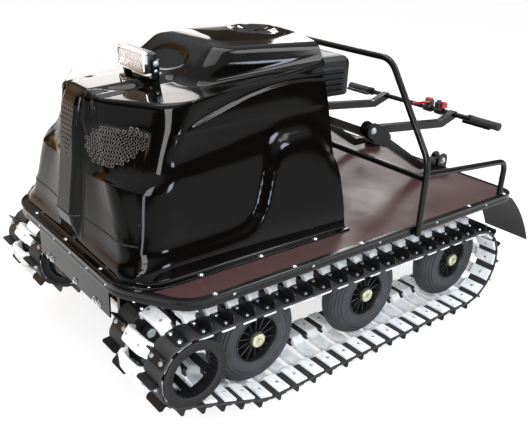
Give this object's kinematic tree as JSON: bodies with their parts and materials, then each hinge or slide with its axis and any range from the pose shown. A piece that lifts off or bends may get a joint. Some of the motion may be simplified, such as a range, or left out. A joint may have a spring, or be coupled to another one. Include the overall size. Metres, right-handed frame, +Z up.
{
  "type": "tracked snow tug",
  "caption": "Two-track motorised snow tug with a moulded hood, flat load deck, hoop, cargo rails and a folding tow handle.",
  "frame": {"origin": "on the ground under the lug tips, in the middle of the overall box", "axes": "+Z up, -Y towards the nose, +X to the tug's left side"},
  "size_m": [1.1466, 1.896, 1.086],
  "materials": {
    "hood_plastic": "gloss black thermoformed ABS",
    "deck_plywood": "brown film-faced plywood",
    "black_steel": "black powder coat",
    "belt_rubber": "fabric-backed conveyor belt rubber",
    "shoe_plastic": "white cast polyethylene",
    "tyre_rubber": "ribbed tyre rubber",
    "rim_plastic": "moulded black nylon",
    "drum_plastic": "machined black polyamide",
    "zinc_steel": "zinc plated steel",
    "chain_steel": "oiled roller chain",
    "flap_rubber": "smooth sheet rubber",
    "engine_paint": "black engine paint",
    "shroud_plastic": "moulded black plastic",
    "lamp_shell": "moulded black plastic",
    "lamp_glass": "ribbed clear lens",
    "grip_rubber": "soft grip rubber",
    "control_plastic": "moulded black plastic",
    "lever_alloy": "black cast alloy"
  },
  "bodies": {
    "chassis": {"hood_shell": "hood_plastic", "hood_nose": "hood_plastic", "deck_board": "deck_plywood", "deck_trim": "black_steel", "deck_rails": "black_steel", "cross_members": "black_steel", "lower_beams": "black_steel", "frame_legs": "black_steel", "drum_hangers": "black_steel", "front_plate": "black_steel", "hoop": "black_steel", "hoop_cross_bar": "black_steel", "cargo_rail_left": "black_steel", "cargo_rail_right": "black_steel", "fold_brackets": "black_steel", "tow_hitch": "black_steel", "lamp_bracket": "black_steel", "track_left": "belt_rubber", "track_right": "belt_rubber", "tyres_left": "tyre_rubber", "tyres_right": "tyre_rubber", "rims_left": "rim_plastic", "rims_right": "rim_plastic", "drive_drum_left": "drum_plastic", "drive_drum_right": "drum_plastic", "wheel_axles": "zinc_steel", "drive_shaft": "zinc_steel", "chain_drive": "chain_steel", "mudflap_left": "flap_rubber", "mudflap_right": "flap_rubber", "engine_block": "engine_paint", "engine_shroud": "shroud_plastic", "lamp_housing": "lamp_shell", "lamp_lens": "lamp_glass"},
    "handle_lower": {"lower_arm_left": "black_steel", "lower_arm_right": "black_steel", "arm_cross_tube": "black_steel"},
    "handle_upper": {"upper_arm_left": "black_steel", "upper_arm_right": "black_steel", "handlebar": "black_steel", "grip_left": "grip_rubber", "grip_right": "grip_rubber", "brake_lever_left": "lever_alloy", "brake_lever_right": "lever_alloy", "throttle": "control_plastic", "stop_switch": "control_plastic"}
  },
  "joints": [
    {"name": "handle_lower_fold", "type": "hinge", "parent": "chassis", "child": "handle_lower", "pos_m": [0, 0.712, 0.503], "axis": [-1, 0, 0], "range_deg": [0, 110]},
    {"name": "handle_upper_fold", "type": "hinge", "parent": "handle_lower", "child": "handle_upper", "pos_m": [0, 0.248, 0.703], "axis": [1, 0, 0], "range_deg": [0, 85]}
  ]
}
